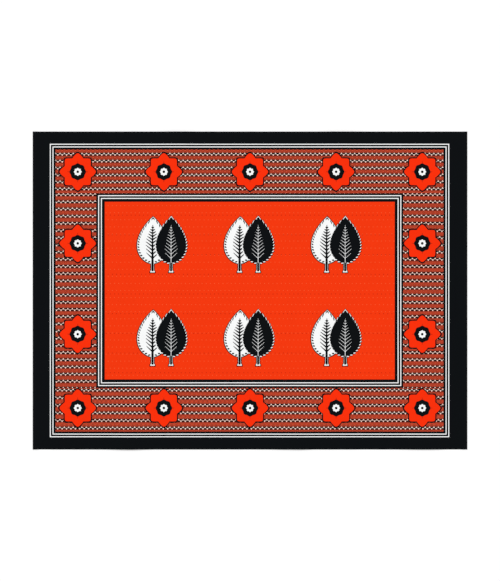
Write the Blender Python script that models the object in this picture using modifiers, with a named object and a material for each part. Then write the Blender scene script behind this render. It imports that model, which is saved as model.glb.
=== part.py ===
"""Kanga wrap cloth, laid out flat: one printed cotton panel and the hem turned under at each of its cut ends.

Metres, +Z up.  X runs along the cloth from one hemmed end to the other, and Y across it from selvedge to
selvedge.  The origin is on the surface that the cloth lies on, under the middle of the cloth.
"""

from collections import namedtuple

import bmesh
import bpy
import numpy as np

# Driving dimensions
CLOTH_LENGTH = 1.500    # from one hemmed end to the other
CLOTH_WIDTH = 1.097     # from selvedge to selvedge
WALL = 0.001            # one layer of cloth
SEAM_GAP = 0.0003       # left where the panel lies over its hem
HEM_WIDTH = 0.012       # the turned strip, from the cloth's end inwards
HEM_EASE = 0.0003       # rounding of the hem strip's edges
HEM_RISE = 0.014        # stretch in which the panel climbs from the ground onto its hem
END_CALM = 0.075        # the waves die out over this stretch before the panel starts to climb

# The panel's grid
CELLS_ALONG = 53        # between the two climbs onto the hems
CELLS_ACROSS = 39
CLIMB_CELLS = 2         # in each climb

# Soft low waves that stay in a cotton cloth smoothed out by hand.  Each one is a long low mound that dies
# out at its ends and sides; the ones centred on a selvedge run in from it.
# x, y: middle.  heading: degrees from +X.  reach: half its length.  spread: half its width.  rise: height.
Wave = namedtuple("Wave", "x y heading reach spread rise")
WAVES = (
    Wave(-0.430, 0.300, 33, 0.270, 0.100, 0.0026),
    Wave(-0.560, -0.270, -58, 0.230, 0.095, 0.0021),
    Wave(0.400, -0.320, 24, 0.290, 0.105, 0.0024),
    Wave(0.530, 0.330, -38, 0.260, 0.100, 0.0028),
    Wave(0.060, 0.400, 7, 0.250, 0.090, 0.0018),
    Wave(-0.130, -0.385, -11, 0.270, 0.095, 0.0020),
    Wave(-0.250, 0.5485, 83, 0.150, 0.100, 0.0027),
    Wave(0.310, 0.5485, 98, 0.130, 0.095, 0.0022),
    Wave(-0.420, -0.5485, 79, 0.160, 0.105, 0.0028),
    Wave(0.150, -0.5485, 96, 0.140, 0.100, 0.0021),
    Wave(0.600, -0.5485, 68, 0.120, 0.090, 0.0019),
)

HALF_LENGTH = CLOTH_LENGTH / 2
HALF_WIDTH = CLOTH_WIDTH / 2
HEM_INNER = HALF_LENGTH - HEM_WIDTH
HEM_LEVEL = WALL + SEAM_GAP                 # height of the panel's underside over its hem
CLIMB_TOP = HEM_INNER - SEAM_GAP            # the panel has its full height before it meets the hem
CLIMB_FOOT = CLIMB_TOP - HEM_RISE

PRINT_COLOUR = (0.82, 0.07, 0.012, 1.0)
HEM_COLOUR = (0.006, 0.007, 0.009, 1.0)


def clear_scene():
    for thing in list(bpy.data.objects):
        bpy.data.objects.remove(thing, do_unlink=True)


def cloth_material(name, colour):
    """Dull cotton of one colour."""
    material = bpy.data.materials.new(name)
    material.use_nodes = True
    shader = material.node_tree.nodes["Principled BSDF"]
    shader.inputs["Base Color"].default_value = colour
    shader.inputs["Roughness"].default_value = 0.85
    shader.inputs["Metallic"].default_value = 0.0
    material.diffuse_color = colour
    return material


def mound(t):
    """A raised cosine: 1 in the middle, 0 from t = 1 outwards."""
    return np.where(np.abs(t) < 1, 0.5 + 0.5 * np.cos(np.pi * t), 0.0)


def ease(t):
    """A smooth step from 0 to 1 as t goes from 0 to 1."""
    t = np.clip(t, 0, 1)
    return t * t * (3 - 2 * t)


def underside(x, y):
    """Height of the cloth's underside: the waves, calmed towards the ends, and the climb onto the hem."""
    waves = np.zeros_like(x)
    for wave in WAVES:
        heading = np.radians(wave.heading)
        along = (x - wave.x) * np.cos(heading) + (y - wave.y) * np.sin(heading)
        aside = (y - wave.y) * np.cos(heading) - (x - wave.x) * np.sin(heading)
        waves += wave.rise * mound(along / wave.reach) * mound(aside / wave.spread)
    calm = ease((CLIMB_FOOT - np.abs(x)) / END_CALM)
    climb = HEM_LEVEL * ease((np.abs(x) - CLIMB_FOOT) / HEM_RISE)
    return waves * calm + climb


def column_places():
    """Where the grid's lines cross the cloth's length: even cells, then the climb, then over the hem."""
    middle = np.linspace(-CLIMB_FOOT, CLIMB_FOOT, CELLS_ALONG + 1)
    climb = np.linspace(CLIMB_FOOT, CLIMB_TOP, CLIMB_CELLS + 1)[1:]
    right_end = np.append(climb, HALF_LENGTH)
    return np.concatenate((-right_end[::-1], middle, right_end))


def make_panel(collection):
    """The printed cloth: a flat slab on the grid, then every point raised by the height of its underside."""
    columns = column_places()
    rows = np.linspace(-HALF_WIDTH, HALF_WIDTH, CELLS_ACROSS + 1)
    shape = bmesh.new()
    bmesh.ops.create_grid(shape, x_segments=len(columns) - 1, y_segments=len(rows) - 1, size=1.0)
    for vertex in shape.verts:
        column = round((vertex.co.x + 1) / 2 * (len(columns) - 1))
        row = round((vertex.co.y + 1) / 2 * (len(rows) - 1))
        vertex.co.x = columns[column]
        vertex.co.y = rows[row]
    sheet = bmesh.ops.extrude_face_region(shape, geom=shape.faces[:], use_keep_orig=True)["geom"]
    top = [item for item in sheet if isinstance(item, bmesh.types.BMVert)]
    bmesh.ops.translate(shape, verts=top, vec=(0, 0, WALL))
    bmesh.ops.recalc_face_normals(shape, faces=shape.faces)
    places = np.array([vertex.co for vertex in shape.verts])
    for vertex, height in zip(shape.verts, underside(places[:, 0], places[:, 1])):
        vertex.co.z += height
    mesh = bpy.data.meshes.new("cloth_panel")
    shape.to_mesh(mesh)
    shape.free()
    mesh.materials.append(cloth_material("printed_cotton", PRINT_COLOUR))
    panel = bpy.data.objects.new("cloth_panel", mesh)
    collection.objects.link(panel)
    return panel


def make_hem(collection, name, side, material):
    """The strip turned under at one cut end, lying on the ground with the panel's end over it."""
    shape = bmesh.new()
    bmesh.ops.create_cube(shape, size=1.0)
    bmesh.ops.scale(shape, vec=(HEM_WIDTH, CLOTH_WIDTH, WALL), verts=shape.verts)
    mesh = bpy.data.meshes.new(name)
    shape.to_mesh(mesh)
    shape.free()
    mesh.materials.append(material)
    hem = bpy.data.objects.new(name, mesh)
    hem.location = (side * (HALF_LENGTH - HEM_WIDTH / 2), 0.0, WALL / 2)
    collection.objects.link(hem)
    rounding = hem.modifiers.new("Rounded edges", "BEVEL")
    rounding.width = HEM_EASE
    rounding.segments = 2
    return hem


clear_scene()
cloth = bpy.data.collections.new("kanga_wrap_cloth")
bpy.context.scene.collection.children.link(cloth)
make_panel(cloth)
hem_cotton = cloth_material("hem_cotton", HEM_COLOUR)
make_hem(cloth, "hem_left", -1, hem_cotton)
make_hem(cloth, "hem_right", 1, hem_cotton)
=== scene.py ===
"""A kanga wrap cloth laid out flat: one width of printed cotton, its two cut ends turned under and stitched.

Lengths are metres, unless a name ends in _MM or _mm.  A place on the cloth is measured on the cloth itself,
from its middle, as it lay before its ends were turned under: x along it and y across it.
"""

from collections import namedtuple

import bpy
import numpy as np
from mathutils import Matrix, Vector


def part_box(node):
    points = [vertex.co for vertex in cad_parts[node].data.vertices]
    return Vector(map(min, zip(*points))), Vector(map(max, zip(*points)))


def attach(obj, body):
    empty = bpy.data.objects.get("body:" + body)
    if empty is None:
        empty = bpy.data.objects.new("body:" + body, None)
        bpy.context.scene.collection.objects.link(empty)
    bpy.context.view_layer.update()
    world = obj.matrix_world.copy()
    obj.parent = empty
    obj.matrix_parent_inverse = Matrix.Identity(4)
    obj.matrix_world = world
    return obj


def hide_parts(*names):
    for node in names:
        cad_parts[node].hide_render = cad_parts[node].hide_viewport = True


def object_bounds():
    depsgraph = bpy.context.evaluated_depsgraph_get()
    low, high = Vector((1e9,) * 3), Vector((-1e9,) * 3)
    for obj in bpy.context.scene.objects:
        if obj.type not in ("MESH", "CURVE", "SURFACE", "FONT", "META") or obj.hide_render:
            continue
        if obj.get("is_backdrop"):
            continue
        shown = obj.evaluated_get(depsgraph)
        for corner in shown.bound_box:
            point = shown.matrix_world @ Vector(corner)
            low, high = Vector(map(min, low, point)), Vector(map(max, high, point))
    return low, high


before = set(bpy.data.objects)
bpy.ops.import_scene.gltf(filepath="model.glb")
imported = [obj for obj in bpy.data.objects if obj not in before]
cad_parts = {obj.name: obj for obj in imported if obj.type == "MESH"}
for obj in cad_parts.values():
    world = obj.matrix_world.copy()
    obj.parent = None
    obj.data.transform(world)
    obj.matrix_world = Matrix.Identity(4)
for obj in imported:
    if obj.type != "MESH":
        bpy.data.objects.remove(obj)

solids_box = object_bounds()


# ---- The printed cloth ----------------------------------------------------------------------------------
# A kanga is one uncut width of plain-weave cotton, thin and soft, printed in a few flat inks.  Its long
# edges are woven selvedges.  Each cut end is turned under twice, so the same sheet makes panel and hems.

panel_low, panel_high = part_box("cloth_panel")
hem_low, hem_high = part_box("hem_right")
HALF_LENGTH = panel_high[0]
HALF_WIDTH = panel_high[1]
HEM_WIDTH = hem_high[0] - hem_low[0]
GROUND = panel_low[2]
THICKNESS = 0.0004
SELVEDGE_EXTRA = 0.00006    # the selvedge's threads are packed closer, so it is a little thicker
SELVEDGE_WIDTH = 0.007
LAYER_PITCH = 0.0005        # from one layer of a hem to the next
RAW_EDGE_GAP = 0.0012       # the raw edge inside the hem stops this short of its outer fold
HEM_RISE = 0.014            # stretch in which the panel climbs from the ground onto its hem
END_CALM = 0.075            # the waves die out over this stretch before the climb
SEAM_GAP = 0.0003           # between the top of the climb and the hem's inner fold
PUCKER_INSET = 0.002        # from the hem's inner fold to the middle of the puckers
PUCKER_REACH = 0.007
PUCKER_RISE = 0.00005
PUCKER_SPACINGS = (0.0057, 0.0131, 0.0092)
CLIMB_POINTS = 7            # of the section, up the climb
OVER_POINTS = 8             # and on from there to the outer fold

# Soft low waves that stay in the cloth after it is smoothed out by hand.
# x, y: middle.  heading: degrees from +X.  reach: half its length.  spread: half its width.  rise: height.
Wave = namedtuple("Wave", "x y heading reach spread rise")
WAVES = (
    Wave(-0.430, 0.300, 33, 0.270, 0.100, 0.0026),
    Wave(-0.560, -0.270, -58, 0.230, 0.095, 0.0021),
    Wave(0.400, -0.320, 24, 0.290, 0.105, 0.0024),
    Wave(0.530, 0.330, -38, 0.260, 0.100, 0.0028),
    Wave(0.060, 0.400, 7, 0.250, 0.090, 0.0018),
    Wave(-0.130, -0.385, -11, 0.270, 0.095, 0.0020),
    Wave(-0.250, 0.5485, 83, 0.150, 0.100, 0.0027),
    Wave(0.310, 0.5485, 98, 0.130, 0.095, 0.0022),
    Wave(-0.420, -0.5485, 79, 0.160, 0.105, 0.0028),
    Wave(0.150, -0.5485, 96, 0.140, 0.100, 0.0021),
    Wave(0.600, -0.5485, 68, 0.120, 0.090, 0.0019),
)

# Fine slack between the threads' fixed points, too low to see but for the way it breaks up the light.
Slack = namedtuple("Slack", "heading wavelength wander rise")
SLACKS = (
    Slack(17, 0.083, 1.7, 0.00011),
    Slack(104, 0.061, 1.3, 0.00008),
    Slack(-41, 0.117, 2.1, 0.00014),
    Slack(68, 0.049, 0.9, 0.00005),
)

HEM_INNER = HALF_LENGTH - HEM_WIDTH
CLIMB_TOP = HEM_INNER - SEAM_GAP
CLIMB_FOOT = CLIMB_TOP - HEM_RISE


def mound(t):
    """A raised cosine: 1 in the middle, 0 from t = 1 outwards."""
    return np.where(np.abs(t) < 1, 0.5 + 0.5 * np.cos(np.pi * t), 0.0)


def ease(t):
    """A smooth step: 3 t squared less 2 t cubed, from 0 to 1 as t goes from 0 to 1."""
    t = np.clip(t, 0, 1)
    return t * t * (3 - 2 * t)


def turned(x, y, heading):
    """x and y in axes that are turned by heading degrees."""
    angle = np.radians(heading)
    return x * np.cos(angle) + y * np.sin(angle), y * np.cos(angle) - x * np.sin(angle)


def lift(x, y):
    """Height of the cloth's underside: each wave is a raised cosine along its heading times one across it,
    and each slack a sine that wanders sideways with another sine; both fade out before the hems."""
    height = np.zeros(np.broadcast(x, y).shape)
    for wave in WAVES:
        along, aside = turned(x - wave.x, y - wave.y, wave.heading)
        height += wave.rise * mound(along / wave.reach) * mound(aside / wave.spread)
    for slack in SLACKS:
        along, aside = turned(x, y, slack.heading)
        wander = slack.wander * np.sin(aside / slack.wavelength * 2.3)
        height += slack.rise * (1 + np.sin(2 * np.pi * along / slack.wavelength + wander))
    return height * ease((CLIMB_FOOT - np.abs(x)) / END_CALM)


def pucker(x, y):
    """Height that the hem's stitches leave in the top layer: uneven mounds along the row of stitches."""
    across = mound((np.abs(x) - HEM_INNER - PUCKER_INSET) / PUCKER_REACH)
    short, long, middle = (np.sin(y / spacing + shift) for shift, spacing in enumerate(PUCKER_SPACINGS))
    along = 2 + short * long + middle
    return PUCKER_RISE * across * along


def half_thickness(y):
    """Half the cloth's thickness, which grows towards the selvedges."""
    return (THICKNESS + SELVEDGE_EXTRA * ease((np.abs(y) - HALF_WIDTH) / SELVEDGE_WIDTH + 1)) / 2


def arc(centre_x, centre_z, radius, start, stop, steps):
    """Points x, z along an arc, from angle start to angle stop in degrees, without its first point."""
    angle = np.radians(np.linspace(start, stop, steps + 1)[1:])
    return centre_x + radius * np.cos(angle), centre_z + radius * np.sin(angle)


def end_section():
    """The right end of the cloth's section, x and height of its middle: along the top layer over the hem,
    round the outer fold, back under, round the inner fold, and out again to the raw edge."""
    outer = HALF_LENGTH - LAYER_PITCH - THICKNESS / 2
    inner = HEM_INNER + LAYER_PITCH / 2 + THICKNESS / 2
    climb = np.linspace(CLIMB_FOOT, CLIMB_TOP, CLIMB_POINTS)
    over = np.linspace(CLIMB_TOP, outer, OVER_POINTS + 1)[1:]
    under = np.linspace(outer, inner, 5)[1:]
    tucked = np.linspace(inner, outer - RAW_EDGE_GAP, 5)[1:]
    runs = (
        (climb, 2 * LAYER_PITCH * ease((climb - CLIMB_FOOT) / HEM_RISE)),
        (over, np.full(over.shape, 2 * LAYER_PITCH)),
        arc(outer, LAYER_PITCH, LAYER_PITCH, 90, -90, 8),
        (under, np.zeros(under.shape)),
        arc(inner, LAYER_PITCH / 2, LAYER_PITCH / 2, -90, -270, 6),
        (tucked, np.full(tucked.shape, LAYER_PITCH)),
    )
    return np.concatenate([run[0] for run in runs]), np.concatenate([run[1] for run in runs])


COLUMNS_BETWEEN = 229       # of the grid, between the two climbs
ROWS = 141
end_x, end_z = end_section()
middle_x = np.linspace(-CLIMB_FOOT, CLIMB_FOOT, COLUMNS_BETWEEN + 2)[1:-1]
section_x = np.concatenate((-end_x[::-1], middle_x, end_x))
section_z = np.concatenate((end_z[::-1], np.zeros(COLUMNS_BETWEEN), end_z))

# How far along the flat cloth each column lies, and which way its printed face looks in the section.
steps = np.hypot(np.diff(section_x), np.diff(section_z))
cloth_x = np.concatenate(([0], np.cumsum(steps)))
cloth_x -= cloth_x[-1] / 2
slope_x = np.gradient(section_x, cloth_x)
slope_z = np.gradient(section_z, cloth_x)
stretch = np.hypot(slope_x, slope_z)
cloth_y = np.linspace(-HALF_WIDTH, HALF_WIDTH, ROWS)
CUT_LENGTH = cloth_x[-1] * 2

# The top layer alone carries the puckers of the stitching.
on_top = np.zeros(section_x.shape)
under_columns = len(end_x) - CLIMB_POINTS - OVER_POINTS
on_top[under_columns:-under_columns] = 1


def sheet_face(side):
    """One face of the sheet as a grid of points, columns by rows: the section's middle, moved out by half
    the thickness along the section's normal, and raised by the waves.  side: 1 is printed, -1 reverse."""
    half = half_thickness(cloth_y)[None, :]
    x = section_x[:, None] - side * half * (slope_z / stretch)[:, None]
    z = GROUND + half + section_z[:, None] + side * half * (slope_x / stretch)[:, None]
    y = np.broadcast_to(cloth_y[None, :], z.shape)
    z = z + lift(section_x[:, None], y) + pucker(section_x[:, None], y) * on_top[:, None]
    return np.stack((np.broadcast_to(x, z.shape), y, z), axis=-1)


printed_face = sheet_face(1)
reverse_face = sheet_face(-1)
columns = len(section_x)

# The outline, anticlockwise from above: along each side of the grid in turn.
outline_i = np.concatenate((np.arange(columns - 1), np.full(ROWS - 1, columns - 1),
                            np.arange(columns - 1, 0, -1), np.zeros(ROWS - 1, int)))
outline_j = np.concatenate((np.zeros(columns - 1, int), np.arange(ROWS - 1),
                            np.full(columns - 1, ROWS - 1), np.arange(ROWS - 1, 0, -1)))
rim_out = np.stack((slope_x[outline_i] * np.select((outline_i == 0, outline_i == columns - 1), (-1.0, 1.0)),
                    np.select((outline_j == 0, outline_j == ROWS - 1), (-1.0, 1.0)),
                    np.zeros(len(outline_i))), axis=-1)
RIM_BULGE = 0.45 * THICKNESS
rim_points = (printed_face + reverse_face)[outline_i, outline_j] / 2 + RIM_BULGE * rim_out

points = np.concatenate((printed_face.reshape(-1, 3), reverse_face.reshape(-1, 3), rim_points))
index = np.arange(columns * ROWS).reshape(columns, ROWS)
printed_quads = np.stack((index[:-1, :-1], index[1:, :-1], index[1:, 1:], index[:-1, 1:]), -1).reshape(-1, 4)
reverse_quads = printed_quads[:, ::-1] + columns * ROWS
near_printed = index[outline_i, outline_j]
near_reverse = near_printed + columns * ROWS
near_rim = np.arange(len(outline_i)) + 2 * columns * ROWS


def rim_strip(lower, upper):
    """Quads between two closed loops of points, facing outwards."""
    return np.stack((lower, np.roll(lower, -1), np.roll(upper, -1), upper), -1)


quads = np.concatenate((printed_quads, reverse_quads,
                        rim_strip(near_reverse, near_rim), rim_strip(near_rim, near_printed)))


def quad_mesh(name, points, quads):
    """A smooth mesh from an array of points and an array of four-cornered faces."""
    mesh = bpy.data.meshes.new(name)
    mesh.vertices.add(len(points))
    mesh.vertices.foreach_set("co", np.ascontiguousarray(points, np.float32).ravel())
    mesh.loops.add(quads.size)
    mesh.loops.foreach_set("vertex_index", np.ascontiguousarray(quads, np.int32).ravel())
    mesh.polygons.add(len(quads))
    mesh.polygons.foreach_set("loop_start", np.arange(0, quads.size, 4, dtype=np.int32))
    mesh.update(calc_edges=True)
    mesh.validate()
    mesh.shade_smooth()
    return mesh


def add_piece(name, mesh, material):
    """Puts a mesh into the scene as a piece that rides on the object's one body."""
    piece = bpy.data.objects.new(name, mesh)
    bpy.context.scene.collection.objects.link(piece)
    mesh.materials.append(material)
    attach(piece, "root")
    return piece


def add_map(mesh, name, places):
    """A UV map from one place for each corner of each face."""
    layer = mesh.uv_layers.new(name=name)
    layer.data.foreach_set("uv", np.ascontiguousarray(places, np.float32).ravel())


cloth_mesh = quad_mesh("kanga_cloth", points, quads)

# The map that the print follows: places on the flat cloth, in metres.
flat_places = np.stack(np.broadcast_arrays(cloth_x[:, None], cloth_y[None, :]), -1)
of_points = np.concatenate((flat_places.reshape(-1, 2),) * 2 + (flat_places[outline_i, outline_j],))
add_map(cloth_mesh, "cloth", of_points[quads])

# The map that finished colours are kept in: the printed face above, the reverse below, and the rim round
# the printed face.
PRINTED_AREA = (0.006, 0.235, 0.994, 0.990)
REVERSE_AREA = (0.006, 0.010, 0.994, 0.220)
RIM_STEP = 0.0018


def spread(places, area):
    """Flat cloth places spread over an area of the map."""
    low, high = np.array(area[:2]), np.array(area[2:])
    share = places / np.array((CUT_LENGTH, 2 * HALF_WIDTH)) + 0.5
    return low + share * (high - low)


kept_printed = spread(flat_places, PRINTED_AREA).reshape(-1, 2)
kept_reverse = spread(flat_places, REVERSE_AREA).reshape(-1, 2)
rim_base = spread(flat_places[outline_i, outline_j], PRINTED_AREA)
rim_aside = np.sign(rim_out[:, :2]) * RIM_STEP
kept_grid = np.concatenate((kept_printed, kept_reverse))
kept_rim = np.concatenate((
    np.stack((rim_base + 2 * rim_aside, np.roll(rim_base + 2 * rim_aside, -1, 0),
              np.roll(rim_base + rim_aside, -1, 0), rim_base + rim_aside), 1),
    np.stack((rim_base + rim_aside, np.roll(rim_base + rim_aside, -1, 0),
              np.roll(rim_base, -1, 0), rim_base), 1),
))
grid_quads = np.concatenate((printed_quads, reverse_quads))
add_map(cloth_mesh, "OFBake", np.concatenate((kept_grid[grid_quads], kept_rim)))


class Number:
    """A number that changes over a piece: a node's socket, on which arithmetic adds Math nodes."""

    def __init__(self, finish, socket):
        self.finish = finish
        self.socket = socket

    def __add__(self, other):
        return self.finish.math("ADD", self, other)

    def __radd__(self, other):
        return self.finish.math("ADD", other, self)

    def __sub__(self, other):
        return self.finish.math("SUBTRACT", self, other)

    def __rsub__(self, other):
        return self.finish.math("SUBTRACT", other, self)

    def __mul__(self, other):
        return self.finish.math("MULTIPLY", self, other)

    def __rmul__(self, other):
        return self.finish.math("MULTIPLY", other, self)

    def __truediv__(self, other):
        return self.finish.math("DIVIDE", self, other)

    def __rtruediv__(self, other):
        return self.finish.math("DIVIDE", other, self)

    def __pow__(self, other):
        return self.finish.math("POWER", self, other)

    def __lt__(self, other):
        return self.finish.math("LESS_THAN", self, other)

    def __gt__(self, other):
        return self.finish.math("GREATER_THAN", self, other)

    def __abs__(self):
        return self.finish.math("ABSOLUTE", self)

    def __round__(self):
        return self.finish.math("ROUND", self)

    def least(self, other):
        return self.finish.math("MINIMUM", self, other)

    def most(self, other):
        return self.finish.math("MAXIMUM", self, other)

    def within(self, low, high):
        return self.most(low).least(high)

    def fraction(self):
        return self.finish.math("FRACT", self)

    def sine(self):
        return self.finish.math("SINE", self)


def arctangent(rise, run):
    """The angle whose tangent is rise over run."""
    return rise.finish.math("ARCTAN2", rise, run)


class Finish:
    """The nodes of one material round its Principled shader, whose constant sockets are set outright."""

    def __init__(self, name, constants):
        self.material = bpy.data.materials.new(name)
        self.material.use_nodes = True
        self.tree = self.material.node_tree
        self.shader = self.tree.nodes["Principled BSDF"]
        self.feed(self.shader, constants)

    def feed(self, node, sockets):
        for name, value in sockets.items():
            if isinstance(value, Number):
                value = value.socket
            if isinstance(value, bpy.types.NodeSocket):
                self.tree.links.new(value, node.inputs[name])
            else:
                node.inputs[name].default_value = value

    def node(self, kind, settings, sockets):
        made = self.tree.nodes.new("ShaderNode" + kind)
        for name, value in settings.items():
            setattr(made, name, value)
        self.feed(made, sockets)
        return made

    def math(self, operation, *values):
        made = self.node("Math", {"operation": operation}, dict(enumerate(values)))
        return Number(self, made.outputs[0])

    def flat_place(self):
        """The place on the flat cloth, as a vector in metres."""
        return self.node("UVMap", {"uv_map": "cloth"}, {}).outputs["UV"]

    def apart(self, vector):
        """The first two numbers of a vector."""
        made = self.node("SeparateXYZ", {}, {"Vector": vector})
        return Number(self, made.outputs["X"]), Number(self, made.outputs["Y"])

    def noise(self, vector, scale, detail=2.0):
        """Smooth noise from 0 to 1."""
        made = self.node("TexNoise", {}, {"Vector": vector, "Scale": scale, "Detail": detail})
        return Number(self, made.outputs[0])

    def paint(self, under, over, mask):
        """The colour under, covered by the colour over where the mask is 1."""
        made = self.node("Mix", {"data_type": "RGBA"}, {0: mask, 6: under, 7: over})
        return made.outputs[2]

    def vector(self, operation, first, second):
        return self.node("VectorMath", {"operation": operation}, {0: first, 1: second}).outputs[0]

    def bump(self, height, strength, distance, under=None):
        """A bumpy surface from a height, over the bumps under it."""
        made = self.node("Bump", {}, {"Height": height, "Strength": strength, "Distance": distance})
        if under:
            self.tree.links.new(under, made.inputs["Normal"])
        return made.outputs["Normal"]


# The inks, as the share of red, green and blue light that they throw back.
BLACK_INK = (0.0018, 0.0027, 0.0037, 1.0)
WHITE_INK = (0.80, 0.81, 0.81, 1.0)
CREAM_INK = (0.86, 0.61, 0.53, 1.0)
FIELD_INK = (0.765, 0.0325, 0.0022, 1.0)
FLOWER_INK = (0.800, 0.0240, 0.0012, 1.0)
STRIP_INK = (0.550, 0.0620, 0.0250, 1.0)
PIN_LIGHT_INK = (0.800, 0.105, 0.030, 1.0)
PIN_DARK_INK = (0.330, 0.009, 0.002, 1.0)
BARE_COTTON = (0.70, 0.67, 0.60, 1.0)

# The print's plan, in millimetres from the cloth's middle.
OUTER_FRAME_MM = (-1.6, 0.0, 687.7, 504.8)      # middle x, y, then half length, half width of its first line
INNER_FRAME_MM = (-0.9, -0.4, 521.4, 327.6)
LINE_MM = 3.2                                   # width of each white line
OUTER_SECOND_MM = -9.2                          # from a frame's first line in to its second
INNER_SECOND_MM = -9.4
BAND_OUTSIDE_MM = -18.0                         # from the outer frame's first line in to the band
BAND_INSIDE_MM = 8.2                            # from the inner frame's first line out to the band
FIELD_EDGE_MM = -21.0                           # from the inner frame's first line in to the field


def frame_distance(x, y, plan):
    """How far outside a rectangle a place is: the larger of its two overshoots, so corners are mitred."""
    middle_x, middle_y, half_x, half_y = plan
    return (abs(x - middle_x) - half_x).most(abs(y - middle_y) - half_y)


def stroke(distance, middle, width):
    """1 on a line of this width."""
    return abs(distance - middle) < width / 2


# The band's rows of zigzag: y of the first row, the pitch of the rows, and the period of the zigzag.
SIDE_ROWS_MM = (331.0, 24.78, 15.65)
TOP_ROWS_MM = (470.6, 23.90, 15.18)
BOTTOM_ROWS_MM = (-343.8, 26.18, 15.19)
BAND_CORNER_MM = 336.0                          # |y| where the top and bottom rows end
ZIGZAG_START_MM = 10.6
ZIGZAG_SWING_MM = 2.75
ROW_HALF_MM = 5.5                               # half height of the black strip behind each zigzag
BEAD_MM = (1.8, 2.6)                            # half width and half height of the bead at each turn
LINK_HALF_MM = 0.65                             # half width of the white line from bead to bead
ECHOES_MM = (7.8, 11.6)                         # from a row's middle to each thin black zigzag
ECHO_HALVES_MM = (0.85, 0.45)                   # half the width of each


def zigzag_rows(x, y):
    """Masks of white and black in the band.  On each row a thin white line follows a triangle wave, with an
    oval bead at every turn, on a black strip; thin black zigzags fill between the rows."""
    top = y > BAND_CORNER_MM
    bottom = y < -BAND_CORNER_MM
    first, pitch, period = (side + top * (upper - side) + bottom * (lower - side) for side, upper, lower
                            in zip(SIDE_ROWS_MM, TOP_ROWS_MM, BOTTOM_ROWS_MM))
    rows_down = (first - y) / pitch
    off = (rows_down - round(rows_down)) * pitch
    swing = abs(((x + ZIGZAG_START_MM) / period).fraction() - 0.5) * 4 - 1
    link = abs(off - ZIGZAG_SWING_MM * swing) < LINK_HALF_MM
    bead_x = (1 - abs(swing)) * period / (4 * BEAD_MM[0])
    bead_y = (off - ((swing > 0) * 2 - 1) * ZIGZAG_SWING_MM) / BEAD_MM[1]
    bead = bead_x * bead_x + bead_y * bead_y < 1
    strip = abs(off) < ROW_HALF_MM
    near, far = (abs(abs(off) - echo - swing) < half for echo, half in zip(ECHOES_MM, ECHO_HALVES_MM))
    return link.most(bead), strip.most(near.most(far))


FLOWER_PITCH_MM = 297.3
FLOWER_ROWS_MM = (409.7, 162.7, -150.8, -405.7)
FLOWER_TIP_MM = 68.0            # from a flower's middle to the tips of its petals
FLOWER_SIDE_MM = (49.0, 50.4)   # and to the sides of its four corner petals, along x and along y
FLOWER_CORNER_POWER = 14        # how square the corner petals are
FLOWER_POINT = (0.155, 1.6)     # how fast the other petals widen, and to which power
FLOWER_POINT_SLANT = 0.75       # evens out the outline on their slanting sides
FLOWER_OUTLINE_MM = 4.0
FLOWER_STAR_MM = 27.2           # from its middle to the edge of its black star
FLOWER_LINE_MM = (0.5, 35.0)    # half width and reach of the four fine lines out of the star
FLOWER_RING_MM = (4.4, 12.4)    # from its middle to the inside and outside of its white ring
FLOWER_LOBES_MM = (1.2, 1.1)    # how far the star's points and the ring's lobes stand out


def flowers(x, y):
    """Masks of the nearest flower: all of it, its black and its white.  A square with rounded corners makes
    four petals; the four along the axes have rounded points, narrowing as their width to the power 1.6.
    In its middle are a black star of eight points, a white ring of eight lobes, and a black dot."""
    column = round(x / FLOWER_PITCH_MM).within(-2, 2)
    fx = abs(x - FLOWER_PITCH_MM * column)
    middle = FLOWER_ROWS_MM[-1]
    for upper, lower in zip(FLOWER_ROWS_MM, FLOWER_ROWS_MM[1:]):
        middle = middle + (y > (upper + lower) / 2) * (upper - lower)
    fy = abs(y - middle) * (FLOWER_SIDE_MM[0] / FLOWER_SIDE_MM[1])

    power = FLOWER_CORNER_POWER
    square = (fx ** power + fy ** power) ** (1 / power) - FLOWER_SIDE_MM[0]
    widening = FLOWER_POINT[0] * fx.least(fy) ** FLOWER_POINT[1]
    petal = (fx.most(fy) + widening - FLOWER_TIP_MM) * FLOWER_POINT_SLANT
    edge = square.least(petal)
    radius = (fx * fx + fy * fy) ** 0.5
    lobes = (arctangent(fy, fx) * 8 + np.pi / 2).sine()
    star = radius < FLOWER_STAR_MM + FLOWER_LOBES_MM[0] * lobes
    line = (fx.least(fy) < FLOWER_LINE_MM[0]) * (fx.most(fy) < FLOWER_LINE_MM[1])
    ring = (radius < FLOWER_RING_MM[1] + FLOWER_LOBES_MM[1] * lobes) * (radius > FLOWER_RING_MM[0])
    black = (edge > -FLOWER_OUTLINE_MM).most(star).most(line)
    return edge < 0, black, ring


LEAF_PITCH_MM = 300.5
LEAF_MIDDLE_MM = -4.0           # x of the middle pair
LEAF_TIPS_MM = (254.0, -68.0)   # y of the tips of the two rows
LEAF_ASIDE_MM = 32.0            # from a pair's middle to each leaf's midrib
LEAF_LENGTH_MM = 161.0
LEAF_TIP_POWER = 0.92
LEAF_BASE_POWER = 0.58
STEM_TOP_MM = 157.0             # from a leaf's tip to the top of its stem, under the leaf
FLARE_TOP_MM = 183.5            # and to where its foot flares out
FLARE_END_MM = 188.5
CORE_END_MM = 187.9
FOOT_MM = 191.5
STEM_MM = 4.5                   # half its width
STEM_CORE_MM = 3.6
STEM_FLARE_MM = 3.2
STEM_OUTLINE_MM = 3.0
MIDRIB_TOP_MM = 28.0
MIDRIB_GROWTH = (0.5, 0.018)    # its half thickness at the tip, and how much more for each millimetre down
VEIN_PAIRS = 10
VEIN_START_MM = 38.0            # vein n joins the midrib at start + pitch n + spread n squared
VEIN_PITCH_MM = 9.0
VEIN_SPREAD_MM = 0.3
VEIN_SLOPE = 0.35               # how steeply a vein rises, and how much more for each millimetre down
VEIN_SLOPE_GROWTH = 0.004
LAST_VEIN_SHORTER_MM = 1.8
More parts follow.
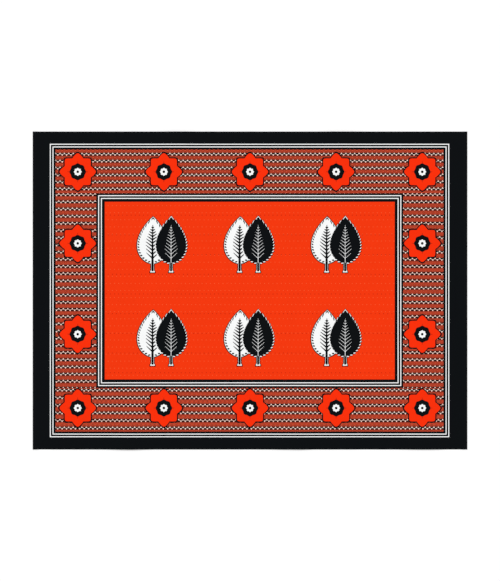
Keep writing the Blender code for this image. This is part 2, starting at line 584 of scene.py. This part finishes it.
TEETH = 17                      # down each side of a leaf, at even angles round its middle
LEAF_CENTRE_MM = 90.0           # from a leaf's tip to its middle
WHITE_RIM_MM = 0.4

# half: half its width.  lean: how far its tip leans.  rib: its midrib's thickness, in multiples of that
# growth.  root, tip: half the thickness of its side veins at each end.  first, longer, longest: length of its
# first side vein, how much longer each next one is, and the longest one.  phase: share of a tooth by which
# its teeth are shifted.  start, slant, thick, share: each tooth's dash starts this far outside the edge,
# slants in by this much over the tooth, is so thick, and covers this share of the tooth.  outline: width of
# the black line round it.
Leaf = namedtuple("Leaf", "half lean rib root tip first longer longest phase start slant thick share outline")
WHITE_LEAF = Leaf(half=52.5, lean=2.4, rib=1.20, root=3.84, tip=1.20, first=5.0, longer=3.3, longest=23.0,
                  phase=0.25, start=0.5, slant=6.0, thick=5.0, share=0.60, outline=3.4)
BLACK_LEAF = Leaf(half=54.0, lean=0.6, rib=0.28, root=0.95, tip=0.50, first=3.5, longer=2.4, longest=22.0,
                  phase=0.0, start=3.0, slant=5.5, thick=3.0, share=0.55, outline=2.8)


def leaf(across, down, kind):
    """Masks of one leaf from the distance across its midrib and down from its tip: all of it with its
    outline, the leaf alone, and its white.  Half its width is the share down to one power times the share
    left to another, and every line along its edge is the same shape grown or shrunk.  Its tip leans."""
    across = abs(across - kind.lean * (1 - down / LEAF_CENTRE_MM).within(0, 1) ** 2)
    widest = LEAF_TIP_POWER / (LEAF_TIP_POWER + LEAF_BASE_POWER)
    full = widest ** LEAF_TIP_POWER * (1 - widest) ** LEAF_BASE_POWER

    def blade(grow):
        share = ((down + grow) / (LEAF_LENGTH_MM + 2 * grow)).within(0, 1)
        return across < (kind.half + grow) / full * share ** LEAF_TIP_POWER * (1 - share) ** LEAF_BASE_POWER

    # The stem, with its flared foot and black core.
    flare = STEM_FLARE_MM * ((down - FLARE_TOP_MM) / (FLARE_END_MM - FLARE_TOP_MM)).within(0, 1)
    below = down > STEM_TOP_MM
    stem = (across < STEM_MM + flare) * below * (down < FOOT_MM)
    stem_outline = (across < STEM_MM + STEM_OUTLINE_MM + flare) * below * (down < FOOT_MM + STEM_OUTLINE_MM)
    core = (across < STEM_CORE_MM) * below * (down < CORE_END_MM)

    # The ribs: a midrib and side veins, steeper and longer down the leaf.  The midrib's place of a vein gives
    # its number, by the quadratic formula, and each vein thins out along its length.
    joint = (down + VEIN_SLOPE * across) / (1 - VEIN_SLOPE_GROWTH * across)
    root = (VEIN_PITCH_MM ** 2 + 4 * VEIN_SPREAD_MM * (joint - VEIN_START_MM)).most(0) ** 0.5
    along = (root - VEIN_PITCH_MM) / (2 * VEIN_SPREAD_MM)
    vein = round(along).within(0, VEIN_PAIRS - 1)
    last = vein > VEIN_PAIRS - 1.5
    span = (kind.first + kind.longer * vein).least(kind.longest) - LAST_VEIN_SHORTER_MM * last
    aside = abs(along - vein) * (VEIN_PITCH_MM + 2 * VEIN_SPREAD_MM * vein)
    veins = (aside < kind.root - (kind.root - kind.tip) * across / span) * (across < span)
    thickness = kind.rib * (MIDRIB_GROWTH[0] + MIDRIB_GROWTH[1] * down)
    midrib = (across < thickness) * (down > MIDRIB_TOP_MM) * (down < LEAF_LENGTH_MM + 1)
    ribs = veins.most(midrib)

    # The toothed margin: black dashes on the white leaf, and white dashes that make the black leaf's edge.
    tooth = (arctangent(across, LEAF_CENTRE_MM - down) * (TEETH / np.pi) + kind.phase).fraction()
    line = kind.start - kind.slant * tooth
    dash = blade(line) * (1 - blade(line - kind.thick)) * (tooth < kind.share)
    if kind is WHITE_LEAF:
        margin = blade(WHITE_RIM_MM)
        white = margin * (1 - dash) * (1 - ribs)
        outline = blade(kind.outline)
    else:
        margin = blade(line)
        white = ribs.most(dash)
        outline = blade(line + kind.outline)
    white = white.most(stem * (1 - margin)) * (1 - core * (1 - margin))
    return outline.most(stem_outline), margin, white


# Faint pin-dots over the field, in millimetres: pitch along a row, pitch of the rows, and radius.
PIN_LIGHT_MM = (14.4, 24.4, 1.3)
PIN_DARK_MM = (14.4, 68.0, 1.4)
PIN_DARK_SHIFT_MM = (7.0, 12.0)


def pin_dots(x, y, pitch, row_pitch, radius):
    """1 on small dots in staggered rows."""
    rows_up = y / row_pitch
    row = round(rows_up)
    aside = x / pitch + row * 0.5
    dx = (aside - round(aside)) * pitch
    dy = (rows_up - row) * row_pitch
    return dx * dx + dy * dy < radius * radius


def printed_inks(x, y):
    """The print at a place in millimetres: pairs of an ink and where it lies, from the first ink laid to
    the last, on cloth that is dyed black first."""
    outer = frame_distance(x, y, OUTER_FRAME_MM)
    inner = frame_distance(x, y, INNER_FRAME_MM)
    lines = stroke(outer, 0, LINE_MM).most(stroke(outer, OUTER_SECOND_MM, LINE_MM))
    lines = lines.most(stroke(inner, 0, LINE_MM)).most(stroke(inner, INNER_SECOND_MM, LINE_MM))
    band = (outer < BAND_OUTSIDE_MM) * (inner > BAND_INSIDE_MM)
    field = inner < FIELD_EDGE_MM

    row_white, row_black = zigzag_rows(x, y)
    flower, flower_black, flower_white = flowers(x, y)
    strips = band * (1 - flower)
    blossoms = band * flower

    pair = round((x - LEAF_MIDDLE_MM) / LEAF_PITCH_MM).within(-1, 1)
    across = x - LEAF_MIDDLE_MM - pair * LEAF_PITCH_MM
    upper_row = y > (LEAF_TIPS_MM[0] - FOOT_MM + LEAF_TIPS_MM[1]) / 2
    down = LEAF_TIPS_MM[1] + (LEAF_TIPS_MM[0] - LEAF_TIPS_MM[1]) * upper_row - y
    back_outline, _, back_white = leaf(across + LEAF_ASIDE_MM, down, WHITE_LEAF)
    front_outline, front_leaf, front_white = leaf(across - LEAF_ASIDE_MM, down, BLACK_LEAF)
    leaf_white = (back_white * (1 - front_leaf)).most(front_white)
    ground = field * (1 - back_outline.most(front_outline))

    white = (blossoms * flower_white).most(field * leaf_white).most(lines)
    return (
        (FIELD_INK, ground),
        (PIN_LIGHT_INK, ground * pin_dots(x, y, *PIN_LIGHT_MM)),
        (PIN_DARK_INK, ground * pin_dots(x + PIN_DARK_SHIFT_MM[0], y + PIN_DARK_SHIFT_MM[1], *PIN_DARK_MM)),
        (STRIP_INK, strips * (1 - row_black)),
        (FLOWER_INK, blossoms * (1 - flower_black)),
        (CREAM_INK, strips * row_white),
        (WHITE_INK, white),
    )


THREAD_PITCH = 0.00045
INK_WANDER = 0.0007         # how far a printed edge strays from its line
INK_WANDER_SCALE = 420.0    # each scale is how many times a metre its noise changes
SLUB_SCALES = (50.0, 1300.0)    # along a thread, and across it
GRAIN_SCALE = 1100.0
CLOUD_SCALE = 7.0
WRINKLE_SCALE = 26.0
WRINKLE_RISE = 0.0012
WEAVE_RISE = 0.00008


def printed_cotton(name, ink_cover):
    """Plain-weave cotton with the whole print drawn on it; ink_cover is how fully the inks cover it."""
    cotton = Finish(name, {"Specular IOR Level": 0.04, "Sheen Weight": 0.06, "Sheen Roughness": 0.4})
    place = cotton.flat_place()

    # Inks spread a little way along the threads, so no printed edge is quite straight.
    stray = cotton.node("TexNoise", {}, {"Vector": place, "Scale": INK_WANDER_SCALE, "Detail": 1.0})
    stray = cotton.vector("SUBTRACT", stray.outputs[1], (0.5, 0.5, 0.5))
    stray = cotton.vector("MULTIPLY", stray, (INK_WANDER,) * 3)
    x, y = cotton.apart(cotton.vector("ADD", place, stray))
    colour = BLACK_INK
    for ink, mask in printed_inks(x * 1000, y * 1000):
        colour = cotton.paint(colour, ink, mask)

    # Threads are spun unevenly, so each runs thicker and thinner along its length.
    along, aside = SLUB_SCALES
    warp_slubs = cotton.noise(cotton.vector("MULTIPLY", place, (along, aside, 1.0)), 1.0)
    weft_slubs = cotton.noise(cotton.vector("MULTIPLY", place, (aside, along, 1.0)), 1.0)

    # Plain weave: ridges both ways, each on top of the other at every second crossing.
    x, y = cotton.apart(place)
    ridge_x = (x * (np.pi / THREAD_PITCH)).sine()
    ridge_y = (y * (np.pi / THREAD_PITCH)).sine()
    crossing = 0.6 * ridge_x * ridge_y
    weave = (abs(ridge_x) + crossing + 0.7 * weft_slubs).most(abs(ridge_y) - crossing + 0.7 * warp_slubs)

    # The cotton shows faintly through the inks, and they lie in soft clouds; painted shade darkens the colour
    # between the threads, where the weave is low.
    clouds = cotton.noise(place, CLOUD_SCALE, 3.0)
    grain = cotton.noise(place, GRAIN_SCALE)
    colour = cotton.paint(colour, BARE_COTTON, (1 - ink_cover) * (0.3 + 1.4 * grain))
    # Uneven tone from clouds, grain and slubs, times painted shade that follows the weave's height between
    # the threads.
    tone_and_painted_shade = 0.80 + 0.06 * clouds + 0.05 * grain + 0.06 * (warp_slubs + weft_slubs) + 0.05 * weave
    colour = cotton.node("VectorMath", {"operation": "SCALE"}, {0: colour, "Scale": tone_and_painted_shade}).outputs[0]

    # Small wrinkles that smoothing by hand leaves, and the weave over them.
    wrinkles = cotton.bump(cotton.noise(place, WRINKLE_SCALE, 4.0), 0.5, WRINKLE_RISE)
    cotton.feed(cotton.shader, {
        "Base Color": colour,
        "Roughness": 0.80 + 0.15 * grain,
        "Normal": cotton.bump(weave, 0.6, WEAVE_RISE, wrinkles),
    })
    return cotton.material


kanga = add_piece("kanga_cloth", cloth_mesh, printed_cotton("kanga_print", 0.999))
cloth_mesh.materials.append(printed_cotton("kanga_reverse", 0.86))
face_material = np.zeros(len(quads), np.int32)
face_material[len(printed_quads):len(grid_quads)] = 1
cloth_mesh.polygons.foreach_set("material_index", face_material)
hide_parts("cloth_panel", "hem_left", "hem_right")


# ---- The hems' stitching -----------------------------------------------------------------------------------
# Each hem is held by one row of machine lockstitch in black cotton thread, just inside its inner fold: a row
# of short stitches on the printed face and another underneath, sewn back over itself at both ends.

STITCH_PITCH = 0.0030
STITCH_GAP = 0.0004         # between one stitch and the next, where the thread goes down
THREAD_RADIUS = 0.00016
STITCH_INSET = 0.0022       # from the hem's inner fold to its row of stitches
ROW_END_GAP = 0.002         # from each selvedge to the row's end
BACK_STITCHES = 4
STITCH_RINGS = 7
STITCH_SIDES = 6
TWIST_PITCH = 0.0005
SINK = 0.00022              # how far each end of a stitch dips into the cloth


def stitch_row(side, facing, random):
    """Points of one row, as rows of stitches, rings and corners.  Each stitch is a thread whose middle
    follows half a sine along the row, from below the surface and back.  facing: 1 is on top, -1 below."""
    starts = np.arange(-HALF_WIDTH + ROW_END_GAP, HALF_WIDTH - ROW_END_GAP - STITCH_PITCH, STITCH_PITCH)
    row = side * (HEM_INNER + STITCH_INSET)
    back = 0.5 * STITCH_PITCH + STITCH_PITCH * np.arange(BACK_STITCHES)
    middles = np.concatenate((starts, starts[0] + back, starts[-1] - back)) + STITCH_PITCH / 2
    doubled = np.concatenate((np.zeros(len(starts)), np.full(2 * BACK_STITCHES, 1.6 * THREAD_RADIUS)))
    count = len(middles)
    skew = random.normal(0.06, 0.03, count)
    aside = random.normal(0, 0.00007, count) + doubled

    along = np.linspace(-1, 1, STITCH_RINGS)[None, :]
    swell = 1 + 0.08 * random.normal(0, 1, (count, 1)) - 0.25 * along ** 4
    half = (STITCH_PITCH - STITCH_GAP) / 2
    y = middles[:, None] + half * along
    x = row + aside[:, None] + skew[:, None] * half * along
    surface = GROUND + half_thickness(y) + facing * half_thickness(y)
    if facing > 0:
        surface = surface + 2 * LAYER_PITCH + pucker(x, y)
    middle_z = surface + facing * ((SINK + 0.5 * THREAD_RADIUS) * np.cos(along * np.pi / 2) ** 0.6 - SINK)
    if facing < 0:
        middle_z = middle_z + THREAD_RADIUS

    turn = np.linspace(0, 2 * np.pi, STITCH_SIDES, endpoint=False)[None, None, :]
    radius = THREAD_RADIUS * swell[:, :, None]
    return np.stack(np.broadcast_arrays(x[:, :, None] + radius * np.cos(turn), y[:, :, None],
                                        middle_z[:, :, None] + radius * np.sin(turn)), -1)


def stitching_mesh(name, side, seed):
    """Both rows of one hem as one mesh: a six-sided tube for each stitch, closed at both ends."""
    random = np.random.default_rng(seed)
    rings = np.concatenate((stitch_row(side, 1, random), stitch_row(side, -1, random)))
    index = np.arange(rings[..., 0].size).reshape(rings.shape[:3])
    onward = np.roll(index, -1, axis=2)
    tubes = np.stack((index[:, :-1], index[:, 1:], onward[:, 1:], onward[:, :-1]), -1)
    first_ends = index[:, 0][:, ((0, 1, 2, 3), (3, 4, 5, 0))]
    last_ends = index[:, -1][:, ((3, 2, 1, 0), (0, 5, 4, 3))]
    faces = np.concatenate([part.reshape(-1, 4) for part in (tubes, first_ends, last_ends)])
    return quad_mesh(name, rings.reshape(-1, 3), faces)


def thread_cotton():
    """Twisted cotton thread, dyed black; the twist shows as slanting ridges."""
    thread = Finish("black_thread", {"Base Color": (0.006, 0.007, 0.009, 1.0), "Roughness": 0.7,
                                     "Specular IOR Level": 0.15})
    where = thread.node("TexCoord", {}, {}).outputs["Object"]
    x, y = thread.apart(where)
    twist = ((x * 0.8 + y) * (2 * np.pi / TWIST_PITCH)).sine()
    thread.feed(thread.shader, {"Normal": thread.bump(twist, 0.5, 0.00005)})
    return thread.material


black_thread = thread_cotton()
for name, side, seed in (("hem_stitching_left", -1, 11), ("hem_stitching_right", 1, 12)):
    row = add_piece(name, stitching_mesh(name, side, seed), black_thread)


# ---- The floor, the light and the camera ----------------------------------------------------------------
# A plain pale floor under even studio light: a white surround and one great soft lamp high on the left.

FLOOR_SIZE = 24.0
FLOOR_DROP = 0.0003
bpy.ops.mesh.primitive_plane_add(size=FLOOR_SIZE, location=(0, 0, GROUND - FLOOR_DROP))
floor = bpy.context.object
floor.name = "floor"
floor_finish = Finish("pale_floor", {"Base Color": (0.835, 0.835, 0.835, 1.0), "Roughness": 0.9,
                                     "Specular IOR Level": 0.1})
floor.data.materials.append(floor_finish.material)
floor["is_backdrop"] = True
2 * HALF_WIDTH

surround = bpy.data.worlds.new("studio_surround")
surround.use_nodes = True
surround.node_tree.nodes["Background"].inputs["Color"].default_value = (1.0, 1.0, 1.0, 1.0)
surround.node_tree.nodes["Background"].inputs["Strength"].default_value = 0.72
bpy.context.scene.world = surround

# A great soft lamp, far enough off to light the whole cloth alike.
key = bpy.data.lights.new("key", "SUN")
key.energy = 2.3
key.angle = np.radians(24)
key_holder = bpy.data.objects.new("key", key)
key_holder.rotation_euler = (np.radians(-38), np.radians(-30), 0.0)
bpy.context.scene.collection.objects.link(key_holder)

PICTURE_HEIGHT_PX = 581
METRES_PER_PX = 0.00345
LENS_MM = 100.0
SENSOR_MM = 36.0
camera = bpy.data.cameras.new("overhead")
camera.lens = LENS_MM
camera.sensor_width = SENSOR_MM
camera.clip_end = 100.0
overhead = bpy.data.objects.new("overhead", camera)
picture_height = PICTURE_HEIGHT_PX * METRES_PER_PX
overhead.location = (0.0, 0.0, panel_high[2] + picture_height * LENS_MM / SENSOR_MM)
bpy.context.scene.collection.objects.link(overhead)
bpy.context.scene.camera = overhead
bpy.context.scene.view_settings.view_transform = "Standard"

shown_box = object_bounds()
({"solids": [list(corner) for corner in solids_box],
           "shown": [list(corner) for corner in shown_box]})
